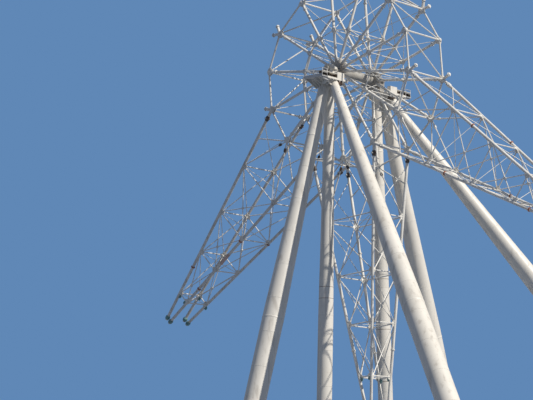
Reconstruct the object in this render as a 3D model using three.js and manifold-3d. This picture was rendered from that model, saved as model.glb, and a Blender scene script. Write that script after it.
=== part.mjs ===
// Giant ferris wheel in course of erection: six tubular legs, an axle, a fourteen-sided spoked ring
// and three of the seven lattice arms that will carry the rim.
// Scale model 1:2. Millimetres, +Z up, the axle along Y. The front is the -Y side.
import * as THREE from "three";
import Module from "manifold-3d";

const wasm = await Module();
wasm.setup();
const { Manifold } = wasm;

// Driving dimensions, in model millimetres (half of the real ones)
const GAP = 0.3; // between solids that stand against each other
const HUB_Z = 31000; // axle centre above the ground
const RING_R = 6300; // ring of nodes, centre to node
const RING_Y = 1880; // half the distance between the front and the rear ring
const NODES = 14; // nodes in each ring
const FIRST_NODE_DEG = 351.9; // angle of node 1 from +X, counter-clockwise seen from the front
const STEP_DEG = 360 / NODES;

const COLUMN_TOP_R = 315; // radii at the head
const OUTER_TOP_R = 350;
const SIDE_TOP_R = 260;
const COLUMN_R = 510; // radii below the taper
const LEG_R = 712;
const TAPER_DROP = 16500; // height over which the legs widen
const COLUMN_HEAD = { x: -93, y: 2536 }; // column axis at the head; y is the distance from the middle plane
const HEAD_Y = 3055; // the same for the outer and side legs
const HEAD_Z = HUB_Z - 693; // level at which the leg axes start
const COLUMN_RAKE = [0, 0.0348]; // X and outward Y per unit of drop
const OUTER_RAKE = [0, 0.3252]; // outer legs
const SIDE_RAKE = { front: [0.669, 0.3546], rear: [0.6602, 0.3546] }; // side legs
const SIDE_HEAD_X = { front: 490, rear: 175 }; // side legs meet the head this far to one side
const SPLICE_Z = HEAD_Z - 4300; // joint between the head piece and the legs
const PLATE_T = 100; // base plates
const BASE_HALF = 1250;

const JOURNAL_R = 230;
const AXLE_R = 330;
const FLANGE_R = 600;
const FLANGE_T = 180;
const BEARING_Y = 2640; // bearings stand on the inner part of the saddle plates
const BEARING_HALF = [470, 300];
const CAP_R = 370; // round top of the bearing
const BORE_CLEAR = 0.5; // between the journal's corners and the bore
const ROUND = 96; // sides of journal and bore, enough for one to turn in the other
const SADDLE = { x: [-620, 1200], y: [2150, 4300], t: 130, drop: 900 }; // drop: top face below the axle
const HEAD_BEAM = { x: [-560, 620], y: [2300, 2980], depth: 400 }; // box beam under the bearing
const STOP = { x: [900, 1200], y: [2560, 3290], h: 430 }; // block at the edge of the saddle plate
const PLATFORM = { x: [-400, 1200], width: 600 }; // outside the saddle plate
const KNUCKLE = { drop: 900, front: 320, rear: 440 }; // rounded shoulder of the side legs, radii

const SPOKE_R = 95;
const KNOT_R = 165; // balls at the ring's nodes
const RING_BAR_R = 64;
const TIE_R = 58;
const RING_BRACE_R = 46;
const INNER_R = 0.47 * RING_R; // bars that link the spokes halfway
const INNER_KNOT_R = 125;
const INNER_BAR_R = 40;

const CHORD_R = 105; // arms
const ARM_ROOT = 1.01 * RING_R; // stubs end and arms begin here, measured along the arm's middle
const ARM_TIP = 3.72 * RING_R;
const ARM_APEX = 3.93 * RING_R; // the two chords of one face would meet here
const ARM_APEX_Y = 0.133 * RING_R; // half the front-rear distance there
const ARM_FRAMES = [1.63, 2.24, 2.78, 3.35].map((r) => r * RING_R);
const ARM_FAN = [1.27, 1.63].map((r) => r * RING_R); // bars from the ring's middle node to the chords
const STRUT_R = 44;
const BRACE_R = 35;
const ARMS = [
  // from: the arm's first ring node; lean: degrees by which its apex hangs off its radius
  { name: "left_arm", from: 9, lean: 0 },
  { name: "bottom_arm", from: 11, lean: -0.4 },
  { name: "right_arm", from: 13, lean: 0 },
];

const V = (x, y, z) => new THREE.Vector3(x, y, z);
const rad = THREE.MathUtils.degToRad;

// A round bar from a to b, with its own radius at each end.
function bar(a, b, r, sides = 6, r2 = r) {
  const d = b.clone().sub(a);
  const q = new THREE.Quaternion().setFromUnitVectors(V(0, 0, 1), d.clone().normalize());
  const m = new THREE.Matrix4().compose(a, q, V(1, 1, 1));
  return Manifold.cylinder(d.length(), r, r2, sides).transform([...m.elements]);
}
const ball = (p, r, sides = 8) => Manifold.sphere(r, sides).translate([p.x, p.y, p.z]);
function box(x0, x1, y0, y1, z0, z1) {
  return Manifold.cube([x1 - x0, y1 - y0, z1 - z0]).translate([x0, y0, z0]);
}
// A box given for the front or the rear by its distances from the middle plane.
const sideBox = (s, x0, x1, y0, y1, z0, z1) =>
  box(x0, x1, Math.min(s * y0, s * y1), Math.max(s * y0, s * y1), z0, z1);
const join = (list) => Manifold.union(list);
const toward = (a, b, d) => a.clone().add(b.clone().sub(a).normalize().multiplyScalar(d));

const paint = (color, roughness = 0.45, metalness = 0.1) =>
  new THREE.MeshStandardMaterial({ color, roughness, metalness });
const CREAM = 0xe9e6dc;
const GREY = 0x8c9094;

function place(group, name, solid, material) {
  const m = solid.getMesh();
  const g = new THREE.BufferGeometry();
  const p = new Float32Array(m.numVert * 3);
  for (let i = 0; i < m.numVert; i++)
    for (let k = 0; k < 3; k++) p[3 * i + k] = m.vertProperties[i * m.numProp + k];
  g.setAttribute("position", new THREE.BufferAttribute(p, 3));
  g.setIndex(new THREE.BufferAttribute(new Uint32Array(m.triVerts), 1));
  const flat = g.toNonIndexed();
  flat.computeVertexNormals();
  const mesh = new THREE.Mesh(flat, material);
  mesh.name = name;
  group.add(mesh);
  return mesh;
}

const root = new THREE.Group();
root.name = "ferris_wheel";
const frame = new THREE.Group();
frame.name = "frame";
const wheel = new THREE.Group();
wheel.name = "wheel";
wheel.position.set(0, 0, HUB_Z);
root.add(frame, wheel);

// Legs, heads and feet
const SIDES = [
  { word: "front", s: -1 },
  { word: "rear", s: 1 },
];
const legKinds = (side) => [
  { word: "column", rake: COLUMN_RAKE, ...COLUMN_HEAD, top: COLUMN_TOP_R, low: COLUMN_R },
  { word: "outer_leg", rake: OUTER_RAKE, x: 0, y: HEAD_Y, top: OUTER_TOP_R, low: LEG_R },
  { word: "side_leg", rake: SIDE_RAKE[side], x: SIDE_HEAD_X[side], y: HEAD_Y, top: SIDE_TOP_R, low: LEG_R },
];
const saddleZ = HUB_Z - SADDLE.drop;

function legAxis(kind, s, drop) {
  return V(kind.x + kind.rake[0] * drop, s * (kind.y + kind.rake[1] * drop), HEAD_Z - drop);
}
// The whole leg from above the head to below the ground, made larger by grow.
function legSolid(kind, s, grow = 0) {
  const knee = legAxis(kind, s, TAPER_DROP);
  const above = legAxis(kind, s, -600);
  const below = legAxis(kind, s, HEAD_Z + 1500);
  return join([
    bar(above, knee, kind.top + grow, 40, kind.low + grow),
    bar(knee, below, kind.low + grow, 40),
  ]);
}
const slab = (z0, z1) => box(-60000, 60000, -60000, 60000, z0, z1);

for (const { word, s } of SIDES) {
  const stubs = [];
  for (const kind of legKinds(word)) {
    const whole = legSolid(kind, s);
    stubs.push(whole.intersect(slab(SPLICE_Z + GAP, saddleZ - 60)));
    place(frame, `${word}_${kind.word}`, whole.intersect(slab(PLATE_T + GAP, SPLICE_Z)), paint(CREAM, 0.4));

    const foot = legAxis(kind, s, HEAD_Z);
    const ribs = [];
    for (let i = 0; i < 8; i++) {
      const rib = box(0, kind.low + 420, -20, 20, 50, 900).subtract(
        box(0, 3000, -30, 30, 0, 2000).rotate([0, -40, 0]).translate([kind.low + 420, 0, 150]),
      );
      ribs.push(rib.rotate([0, 0, 45 * i + 22.5]).translate([foot.x, foot.y, 0]));
    }
    const base = join([
      box(foot.x - BASE_HALF, foot.x + BASE_HALF, foot.y - BASE_HALF, foot.y + BASE_HALF, 0, PLATE_T),
      ...ribs,
    ]).subtract(legSolid(kind, s, GAP).intersect(slab(PLATE_T, 3000)));
    place(frame, `${word}_${kind.word}_foot`, base, paint(GREY, 0.6, 0.4));
  }
  // Head: the three tubes run together under the saddle plate.
  const plate = sideBox(s, ...SADDLE.x, ...SADDLE.y, saddleZ - SADDLE.t, saddleZ - GAP);
  const beam = sideBox(s, ...HEAD_BEAM.x, ...HEAD_BEAM.y, saddleZ - HEAD_BEAM.depth, saddleZ - 60);
  const stop = sideBox(s, ...STOP.x, ...STOP.y, saddleZ - SADDLE.t, saddleZ + STOP.h);
  const knuckle = ball(legAxis(legKinds(word)[2], s, KNUCKLE.drop), KNUCKLE[word], 24);
  place(frame, `${word}_leg_head`, join([plate, beam, stop, knuckle, ...stubs]), paint(0xdedbd2, 0.5));

  // Plummer block with its round cap
  const [bx, by] = BEARING_HALF;
  const y = s * BEARING_Y;
  const housing = join([
    box(-bx, bx, y - by, y + by, saddleZ, saddleZ + 130),
    box(-CAP_R, CAP_R, y - by + 30, y + by - 30, saddleZ, HUB_Z),
    bar(V(0, y - by + 30, HUB_Z), V(0, y + by - 30, HUB_Z), CAP_R, 32),
  ]);
  const bore = bar(V(0, y - 2 * by, HUB_Z), V(0, y + 2 * by, HUB_Z), JOURNAL_R + BORE_CLEAR, ROUND);
  place(frame, `${word}_bearing`, housing.subtract(bore), paint(CREAM, 0.5));

  // Service platform outside the bearing
  const yIn = s * (SADDLE.y[1] + GAP);
  const yOut = s * (SADDLE.y[1] + PLATFORM.width);
  const zD = saddleZ - 100;
  const [x0, x1] = PLATFORM.x;
  const parts = [box(x0, x1, Math.min(yIn, yOut), Math.max(yIn, yOut), zD, zD + 60)];
  const rail = [
    [x0 + 40, yIn + s * 30],
    [x0 + 40, yOut - s * 40],
    [(x0 + x1) / 2, yOut - s * 40],
    [x1 - 40, yOut - s * 40],
    [x1 - 40, yIn + s * 30],
  ];
  for (const [x, yy] of rail) parts.push(bar(V(x, yy, zD + 20), V(x, yy, zD + 590), 22));
  for (const h of [300, 580])
    for (let i = 0; i + 1 < rail.length; i++)
      parts.push(bar(V(rail[i][0], rail[i][1], zD + h), V(rail[i + 1][0], rail[i + 1][1], zD + h), 17));
  place(frame, `${word}_platform`, join(parts), paint(0xd5d5cf, 0.6));
}

// Wheel, about the axle's centre
const flangeIn = RING_Y - FLANGE_T / 2;
const axleEnd = BEARING_Y + BEARING_HALF[1] + 120;
place(
  wheel,
  "axle",
  join([
    bar(V(0, -axleEnd, 0), V(0, axleEnd, 0), JOURNAL_R, ROUND),
    bar(V(0, -flangeIn + GAP, 0), V(0, flangeIn - GAP, 0), AXLE_R, 32),
  ]),
  paint(0xc9c8c2, 0.4, 0.4),
);

const angleOf = (k) => rad(FIRST_NODE_DEG + (k - 1) * STEP_DEG);
const nodeAt = (k, s, r = RING_R) => {
  const a = angleOf(k);
  return V(r * Math.cos(a), s * RING_Y, r * Math.sin(a));
};

for (const { word, s } of SIDES) {
  const y = s * RING_Y;
  const parts = [bar(V(0, y - FLANGE_T / 2, 0), V(0, y + FLANGE_T / 2, 0), FLANGE_R, 28)];
  const knots = [];
  for (let k = 1; k <= NODES; k++) {
    parts.push(bar(nodeAt(k, s, FLANGE_R - 60), nodeAt(k, s), SPOKE_R, 8));
    parts.push(ball(nodeAt(k, s, INNER_R), INNER_KNOT_R));
    parts.push(bar(nodeAt(k, s, INNER_R), nodeAt(k + 1, s, INNER_R), INNER_BAR_R));
    knots.push(ball(nodeAt(k, s), KNOT_R + GAP));
  }
  const hole = bar(V(0, y - 300, 0), V(0, y + 300, 0), JOURNAL_R + 1, ROUND);
  place(wheel, `${word}_spokes`, join(parts).subtract(join([hole, ...knots])), paint(CREAM));
}

// A point of an arm's chord at the distance r along the arm's middle.
// Side 0 starts at the ring's node from, side 1 at node from + 2.
const rootR = RING_R * Math.cos(rad(STEP_DEG));
function armPoint(from, side, s, r) {
  const arm = ARMS.find((a) => a.from === from);
  const apexAngle = angleOf(from + 1) + rad(arm ? arm.lean : 0);
  const apex = V(ARM_APEX * Math.cos(apexAngle), s * ARM_APEX_Y, ARM_APEX * Math.sin(apexAngle));
  return nodeAt(side ? from + 2 : from, s).lerp(apex, (r - rootR) / (ARM_APEX - rootR));
}

// Ring: seven segments, each with two nodes on the front and two on the rear ring
for (let i = 0; i < NODES / 2; i++) {
  const k = 2 * i + 1;
  const parts = [];
  for (const s of [-1, 1]) {
    for (const n of [k, k + 1]) {
      parts.push(ball(nodeAt(n, s), KNOT_R));
      parts.push(bar(nodeAt(n, s), nodeAt(n + 1, s), RING_BAR_R, 8));
    }
    // stubs at the odd node for the two arms that share it
    for (const [from, side] of [[k, 0], [k - 2, 1]])
      parts.push(bar(armPoint(from, side, s, rootR), armPoint(from, side, s, ARM_ROOT), CHORD_R, 8));
  }
  for (const n of [k, k + 1]) {
    parts.push(bar(nodeAt(n, -1), nodeAt(n, 1), TIE_R));
    parts.push(bar(nodeAt(n, 1), nodeAt(n + 1, -1), RING_BRACE_R));
  }
  const next = [-1, 1].map((s) => ball(nodeAt(k + 2, s), KNOT_R + GAP));
  next.push(bar(nodeAt(k + 2, -1), nodeAt(k + 2, 1), TIE_R + GAP));
  place(wheel, `ring_segment_${i + 1}`, join(parts).subtract(join(next)), paint(CREAM));
}

// Arms: two flat faces with the chords, and the webs between them
for (const { name, from } of ARMS) {
  const chords = (s, r0, grow) =>
    [0, 1].map((side) => bar(armPoint(from, side, s, r0), armPoint(from, side, s, ARM_TIP), CHORD_R + grow, 8));
  const levels = ARM_FRAMES;
  for (const { word, s } of SIDES) {
    const parts = chords(s, ARM_ROOT + GAP, 0);
    levels.forEach((r, i) => {
      const [a, b] = [0, 1].map((side) => armPoint(from, side, s, r));
      parts.push(bar(a, b, STRUT_R));
      if (i + 1 < levels.length) {
        const [c, d] = [0, 1].map((side) => armPoint(from, side, s, levels[i + 1]));
        parts.push(bar(a, d, BRACE_R), bar(b, c, BRACE_R));
      }
    });
    const middle = nodeAt(from + 1, s);
    for (const r of ARM_FAN)
      for (const side of [0, 1]) parts.push(bar(middle, armPoint(from, side, s, r), STRUT_R));
    const clear = ball(middle, KNOT_R + GAP);
    place(wheel, `${name}_${word}_face`, join(parts).subtract(clear), paint(CREAM));
  }
  const allChords = join([...chords(-1, rootR, GAP), ...chords(1, rootR, GAP)]);
  for (const [word, side] of [["lead", 0], ["trail", 1]]) {
    // joints of a web lie just inside the chords, so that its bars hold together
    const inset = (s, r) => toward(armPoint(from, side, s, r), armPoint(from, side, -s, r), CHORD_R + 34);
    const parts = [];
    levels.forEach((r, i) => {
      parts.push(bar(armPoint(from, side, -1, r), armPoint(from, side, 1, r), STRUT_R));
      if (i + 1 < levels.length) parts.push(bar(inset(1, r), inset(-1, levels[i + 1]), BRACE_R));
    });
    place(wheel, `${name}_${word}_web`, join(parts).subtract(allChords), paint(CREAM));
  }
}

// The origin lies under the middle of the whole.
root.updateMatrixWorld(true);
const bounds = new THREE.Box3().setFromObject(root, true);
root.position.x = -(bounds.min.x + bounds.max.x) / 2;

export default root;
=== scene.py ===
# %% [markdown]
# A giant ferris wheel in course of erection, as a model at half size.
# Six tubular legs carry an axle; a spoked double ring turns on it, and three of its seven
# lattice arms are already in place. The solid frame brings these main forms. This file gives
# them their paint and adds what is too fine for it: flanges, bolts, gussets, weld beads,
# rods and gratings. Everything is in metres, with Z up and the front toward -Y.

# %% Load the frame
import math
import bpy
import numpy as np
from mathutils import Matrix


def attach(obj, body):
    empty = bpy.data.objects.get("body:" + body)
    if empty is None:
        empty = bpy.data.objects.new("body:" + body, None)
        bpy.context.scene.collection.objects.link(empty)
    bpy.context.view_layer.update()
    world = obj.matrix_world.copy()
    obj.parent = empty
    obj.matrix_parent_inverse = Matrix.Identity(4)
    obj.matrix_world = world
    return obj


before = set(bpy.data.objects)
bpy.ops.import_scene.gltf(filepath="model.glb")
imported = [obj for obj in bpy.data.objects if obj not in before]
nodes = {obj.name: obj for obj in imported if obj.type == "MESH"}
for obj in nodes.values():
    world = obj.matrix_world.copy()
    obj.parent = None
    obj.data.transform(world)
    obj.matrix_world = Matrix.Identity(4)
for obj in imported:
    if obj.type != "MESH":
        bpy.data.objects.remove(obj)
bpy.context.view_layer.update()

# %% [markdown]
# The ring has fourteen nodes on each side, and the legs of one side meet in a head under the
# bearing. All the pieces below are placed from these few measures, so they are kept together
# here, as the setting-out of a building is kept on one sheet.

# %% Setting-out
HUB = np.array([-2.37832, 0.0, 31.0])  # middle of the axle
RING_R, RING_Y = 6.3, 1.88  # ring nodes: radius, and distance from the middle plane
FIRST_NODE, STEP = math.radians(351.9), 2 * math.pi / 14
INNER_R = 0.47 * RING_R  # where the spokes are linked halfway
ARM_APEX, ARM_APEX_Y = 3.93 * RING_R, 0.133 * RING_R  # where a face's chords meet, beyond the tip
ARM_ROOT, ARM_TIP = 1.01 * RING_R, 3.72 * RING_R  # distances from the axle along the arm
ARM_FRAMES = np.array([1.63, 2.24, 2.78, 3.35]) * RING_R  # where its cross frames are
ARM_LEAN = {11: math.radians(-0.4)}  # by first node: the hanging arm is a little out of line
ROOT_R = RING_R * math.cos(STEP)
HEAD_Y = {"column": 2.536, "outer_leg": 3.055, "side_leg": 3.055}  # leg axes at the head, outward
HEAD_Z = 30.307  # the level from which their drops are counted
HEAD_DROP = 4.3  # the drop at which the leg head ends and the leg itself begins
BEARING_Y, SADDLE_Z = 2.64, 30.10  # bearing's middle, and top of the saddle plate
TOP_R = {"column": 0.315, "outer_leg": 0.35, "side_leg": 0.26}  # radius of each leg at the head
LOW_R = {"column": 0.51, "outer_leg": 0.712, "side_leg": 0.712}  # and below its taper
TAPER_RISE, TAPER_DROP = 0.6, 16.5  # the taper starts this far above that level and ends below it
RAKES = {  # where a leg meets the head along X, then X and Y per unit of drop; front, rear
    "column": [(-0.093, 0.0, 0.0348), (-0.093, 0.0, 0.0348)],
    "outer_leg": [(0.0, 0.0, 0.3252), (0.0, 0.0, 0.3252)],
    "side_leg": [(0.490, 0.669, 0.3546), (0.175, 0.6602, 0.3546)],
}
SIDES = {"front": -1.0, "rear": 1.0}
print("axle at", HUB, "ring radius", RING_R, "arm length", round(ARM_TIP - ARM_ROOT, 2))

# %% [markdown]
# A few functions turn these measures into places: points of the ring, of an arm's chords and of a
# leg's axis. They work on whole arrays, so fourteen spokes or all the beads of a leg are placed
# in one step, and a piece that is placed by them follows when a measure changes.

# %% Points of the ring, the arms and the legs
def unit(v):
    """Vectors divided by their own length."""
    return v / np.linalg.norm(v, axis=-1, keepdims=True)


def square_to(along, way):
    """What is left of a direction without its share along a unit vector, as a unit vector."""
    return unit(way - along * np.dot(way, along))


def ring_point(k, side, radius=RING_R):
    """Points of the ring: on a circle about the axle at k steps from the first node,
    at the given distance to the front (-1) or the rear (+1)."""
    k, side, radius = np.broadcast_arrays(*(np.asarray(v, float) for v in (k, side, radius)))
    a = FIRST_NODE + (k - 1) * STEP
    return HUB + np.stack([radius * np.cos(a), side * RING_Y, radius * np.sin(a)], -1)


def arm_point(first, edge, side, radius):
    """Points of an arm's chord: on the straight line from ring node first + 2 * edge
    to the arm's apex, at the given distances from the axle along the arm's middle."""
    a = FIRST_NODE + first * STEP + ARM_LEAN.get(first, 0.0)
    apex = HUB + np.array([ARM_APEX * math.cos(a), side * ARM_APEX_Y, ARM_APEX * math.sin(a)])
    start = ring_point(first + 2 * edge, side)
    t = (np.asarray(radius, float)[..., None] - ROOT_R) / (ARM_APEX - ROOT_R)
    return start + (apex - start) * t


def arm_axes(first, edge, side):
    """A chord's direction, and the direction square to it, across the face toward the other chord."""
    root, tip = (arm_point(first, edge, side, r) for r in (ARM_ROOT, ARM_TIP))
    along = unit(tip - root)
    return along, square_to(along, arm_point(first, 1 - edge, side, ARM_ROOT) - root)


def leg_axis(kind, side, drop):
    """Points of a leg's axis: straight down from the head by drop, and aside by its rake."""
    x0, rake_x, rake_y = RAKES[kind][int(side > 0)]
    drop = np.asarray(drop, float)
    return np.stack([HUB[0] + x0 + rake_x * drop, side * (HEAD_Y[kind] + rake_y * drop), HEAD_Z - drop], -1)


def leg_radius(kind, drop):
    """A leg's radius: it grows evenly down to the end of the taper and stays the same below."""
    share = np.clip((np.asarray(drop, float) + TAPER_RISE) / (TAPER_DROP + TAPER_RISE), 0, 1)
    return TOP_R[kind] + (LOW_R[kind] - TOP_R[kind]) * share


print("highest ring node:", ring_point(np.arange(1, 15), 1)[:, 2].max().round(3))

# %% [markdown]
# The photograph was taken from low down, far to the right of the wheel's front, with a long lens.
# The camera's place follows from where the ring's nodes and the legs lie in the picture: its
# direction and distance were solved for, and the picture's centre lies below and left of the axle.

# %% Camera
AZIMUTH, PITCH = math.radians(41.566), math.radians(9.271)
FOCAL_PX, IMAGE_W = 2000.0, 533
DISTANCE = 22.094 * RING_R
AXLE_PX = (87.75, 124.34)  # the axle lies this far right of and above the picture's centre

ahead = math.cos(PITCH)
forward = np.array([-math.sin(AZIMUTH) * ahead, math.cos(AZIMUTH) * ahead, math.sin(PITCH)])
right = np.array([math.cos(AZIMUTH), math.sin(AZIMUTH), 0.0])
up = np.cross(right, forward)
eye = HUB - DISTANCE * (forward + (right * AXLE_PX[0] + up * AXLE_PX[1]) / FOCAL_PX)

lens = bpy.data.cameras.new("camera")
lens.sensor_fit, lens.sensor_width = "HORIZONTAL", 36.0
lens.lens = lens.sensor_width * FOCAL_PX / IMAGE_W
lens.clip_start, lens.clip_end = 1.0, 2000.0
camera = bpy.data.objects.new("camera", lens)
facing = np.stack([right, up, -forward], 1)
camera.matrix_world = Matrix([[*row, e] for row, e in zip(facing, eye)] + [[0, 0, 0, 1]])
bpy.context.scene.collection.objects.link(camera)
bpy.context.scene.camera = camera
print("camera at", eye.round(2), "lens", round(lens.lens, 1))

# %% [markdown]
# Light: one sun from the right and above, in the direction that gives the legs the shade they
# have in the picture (one leg's shadow lies along its neighbour), and a weak even fill from a pale
# blue surround. What the camera sees behind the object is a plain blue of its own, which doesn't
# light anything.

# %% Light
KEY_ELEVATION, KEY_AZIMUTH = math.radians(42.5), math.radians(12.5)
KEY_STRENGTH, KEY_COLOUR, KEY_WIDTH = 4.1, (1.0, 0.945, 0.865), math.radians(0.5)
FILL_STRENGTH, FILL_COLOUR = 0.50, (0.33, 0.40, 0.55, 1)
BACKDROP_COLOUR = (0.117, 0.245, 0.468, 1)
world = bpy.data.worlds.new("studio")
world.use_nodes = True
surround = world.node_tree
fill = surround.nodes["Background"]
fill.inputs["Color"].default_value = FILL_COLOUR
fill.inputs["Strength"].default_value = FILL_STRENGTH
backdrop = surround.nodes.new("ShaderNodeBackground")
backdrop.inputs["Color"].default_value = BACKDROP_COLOUR
chooser = surround.nodes.new("ShaderNodeMixShader")
seen = surround.nodes.new("ShaderNodeLightPath").outputs["Is Camera Ray"]
for source, target in ((seen, chooser.inputs[0]), (fill.outputs[0], chooser.inputs[1]),
                       (backdrop.outputs[0], chooser.inputs[2]),
                       (chooser.outputs[0], surround.nodes["World Output"].inputs["Surface"])):
    surround.links.new(source, target)
bpy.context.scene.world = world
bpy.context.scene.view_settings.view_transform = "Standard"

key_light = bpy.data.lights.new("key", "SUN")
key_light.energy, key_light.angle, key_light.color = KEY_STRENGTH, KEY_WIDTH, KEY_COLOUR
key = bpy.data.objects.new("key", key_light)
key.rotation_euler = (math.pi / 2 - KEY_ELEVATION, 0, math.pi / 2 + KEY_AZIMUTH)
bpy.context.scene.collection.objects.link(key)
print("key from", math.degrees(KEY_AZIMUTH), "deg, elevation", math.degrees(KEY_ELEVATION))

# %% [markdown]
# The floor is a plain pale square under the feet. It belongs to the stage and not to the object, and
# it doesn't send light back up, because the undersides are dark in the picture.

# %% Floor
FLOOR_HALF, FLOOR_COLOUR = 45.0, (0.5, 0.5, 0.49, 1)
floor_mesh = bpy.data.meshes.new("floor")
corners = [(x * FLOOR_HALF, y * FLOOR_HALF, 0) for x, y in ((-1, -1), (1, -1), (1, 1), (-1, 1))]
floor_mesh.from_pydata(corners, [], [(0, 1, 2, 3)])
floor = bpy.data.objects.new("floor", floor_mesh)
floor.visible_diffuse = False
bpy.context.scene.collection.objects.link(floor)
floor_finish = bpy.data.materials.new("pale_floor")
floor_finish.use_nodes = True
floor_finish.node_tree.nodes["Principled BSDF"].inputs["Base Color"].default_value = FLOOR_COLOUR
floor_mesh.materials.append(floor_finish)
print("floor:", 2 * FLOOR_HALF, "square")

# %% [markdown]
# Every surface below is a grid of points, and each row of it closes on itself. So the faces between
# the rows, and the fans that close a shape at a pole on either end, are worked out once for all.
# The corners of a face run counter-clockwise as seen from outside, which makes it point outward.

# %% Grids and skins
def across(axis):
    """Two unit vectors square to each axis and to each other; axis = first x second."""
    ref = np.where(np.abs(axis[..., 2:3]) > 0.95, [1.0, 0.0, 0.0], [0.0, 0.0, 1.0])
    first = unit(np.cross(ref, axis))
    return first, np.cross(axis, first)


def spokes_about(first, second, sides):
    """Unit vectors spread evenly about each axis: cosine times first plus sine times second."""
    a = np.arange(sides) * 2 * math.pi / sides
    return np.cos(a)[:, None] * first[:, None] + np.sin(a)[:, None] * second[:, None]


def grid_quads(rows, cols, gaps):
    """Four-sided faces of a grid of points, in the gaps between one row and the next. Each row
    closes on itself, and where there are as many gaps as rows, the last row joins the first."""
    i, j = np.meshgrid(np.arange(gaps), np.arange(cols), indexing="ij")
    i2, j2 = (i + 1) % rows, (j + 1) % cols
    return np.stack([i * cols + j, i * cols + j2, i2 * cols + j2, i2 * cols + j], -1).reshape(-1, 4)


def closed_skin(rings, start, end):
    """Closed surfaces from rings of points (copy, row, column) and a pole at either end.
    Returns points, four-sided faces between the rings and three-sided faces at the poles."""
    n, rows, cols = rings.shape[:3]
    points = np.concatenate([rings.reshape(n, rows * cols, 3), start[:, None], end[:, None]], 1)
    c = np.arange(cols)
    c2 = (c + 1) % cols
    low = np.stack([np.full(cols, rows * cols), c2, c], -1)
    top = (rows - 1) * cols
    high = np.stack([np.full(cols, rows * cols + 1), top + c, top + c2], -1)
    shift = (np.arange(n) * points.shape[1])[:, None, None]
    tris = np.concatenate([low, high])
    quads = grid_quads(rows, cols, rows - 1)
    return points.reshape(-1, 3), (quads + shift).reshape(-1, 4), (tris + shift).reshape(-1, 3)


print("a skin of 4 rows of 6 points has", len(grid_quads(4, 6, 3)), "four-sided faces")

# %% [markdown]
# Almost everything on such a wheel is turned, rolled or cut from plate. So three makers are enough.
# A turned solid is a profile carried round a line: bars, flanges, bolts, knuckles. A hoop is a small
# section carried round a ring: weld beads and collars. A plate is an outline with two faces and
# chamfered edges. Each works on many copies at once, as whole arrays.

# %% Makers of surfaces
def turned(starts, ends, rows, sides):
    """Solids turned about the lines from starts to ends. Each row is (end, distance, radius): end 0
    measures from the start and 1 back from the end. The first and last rows are the poles."""
    starts, ends = np.atleast_2d(starts).astype(float), np.atleast_2d(ends).astype(float)
    end, distance, radius = np.array(rows, float).T
    length = np.linalg.norm(ends - starts, axis=-1, keepdims=True)
    axis = unit(ends - starts)
    along = end * length + (1 - 2 * end) * distance
    centres = starts[:, None] + along[..., None] * axis[:, None]
    rings = centres[:, 1:-1, None] + radius[1:-1, None, None] * spokes_about(*across(axis), sides)[:, None]
    return closed_skin(rings, centres[:, 0], centres[:, -1])


def both_ends(*steps):
    """A profile that is the same from either end: the steps (distance, radius) counted from the
    start, and the same steps backward, counted from the end."""
    return [(0, 0, 0), *((0, *step) for step in steps), *((1, *step) for step in steps[::-1]), (1, 0, 0)]


SECTION = 8  # points round a hoop's section


def hoops(centres, axes, inner, outer, half, sides=40, soft=0.3, squash=None):
    """Rings about axes with a rounded rectangular section: radius from inner to outer, and
    half to either side along the axis. The section is a circle pushed out toward its square."""
    centres, axes = np.atleast_2d(centres).astype(float), unit(np.atleast_2d(axes).astype(float))
    n = len(centres)
    inner, outer, half = (np.broadcast_to(np.asarray(v, float), (n,)) for v in (inner, outer, half))
    f = (np.arange(SECTION) + 0.5) * 2 * math.pi / SECTION
    u, w = np.cos(f), np.sin(f)
    swell = 1 / np.maximum(np.abs(u), np.abs(w)) ** (1 - soft)
    r = (inner + outer)[:, None] / 2 + (outer - inner)[:, None] / 2 * (u * swell)
    z = half[:, None] * (w * swell)
    spokes = spokes_about(*(squash or across(axes)), sides)
    grid = (centres[:, None, None] + r[..., None, None] * spokes[:, None]
            + z[..., None, None] * axes[:, None, None])
    quads = grid_quads(SECTION, sides, SECTION)
    shift = (np.arange(n) * SECTION * sides)[:, None, None]
    return grid.reshape(-1, 3), (quads + shift).reshape(-1, 4), np.zeros((0, 3), int)


def plates(centres, x_axes, y_axes, outline, thickness, chamfer=0.12):
    """Flat plates with bevelled edges. The outline, in metres about the centre, runs counter-
    clockwise; near either face it shrinks toward the centre by the share chamfer of the thickness."""
    centres, x_axes, y_axes = (np.atleast_2d(v).astype(float) for v in (centres, x_axes, y_axes))
    outline = np.asarray(outline, float)
    z_axes = np.cross(x_axes, y_axes)
    cut, half = chamfer * thickness, thickness / 2
    small = outline * (1 - cut / np.linalg.norm(outline, axis=1, keepdims=True))
    rings = np.stack([
        centres[:, None] + o[:, 0:1] * x_axes[:, None] + o[:, 1:2] * y_axes[:, None] + h * z_axes[:, None]
        for o, h in ((small, -half), (outline, cut - half), (outline, half - cut), (small, half))], 1)
    return closed_skin(rings, centres - z_axes * half, centres + z_axes * half)


def block(lo, hi, chamfer=0.02):
    """A bevelled block between two corners: a plate whose outline is the block's plan."""
    lo, hi = np.asarray(lo, float), np.asarray(hi, float)
    size = hi - lo
    x, y = size[0] / 2, size[1] / 2
    c = min(chamfer, 0.3 * min(x, y))
    plan = [(x, c - y), (x, y - c), (x - c, y), (c - x, y),
            (-x, y - c), (-x, c - y), (c - x, -y), (x - c, -y)]
    return plates((lo + hi) / 2, [1, 0, 0], [0, 1, 0], plan, size[2], min(chamfer / size[2], 0.3))


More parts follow.
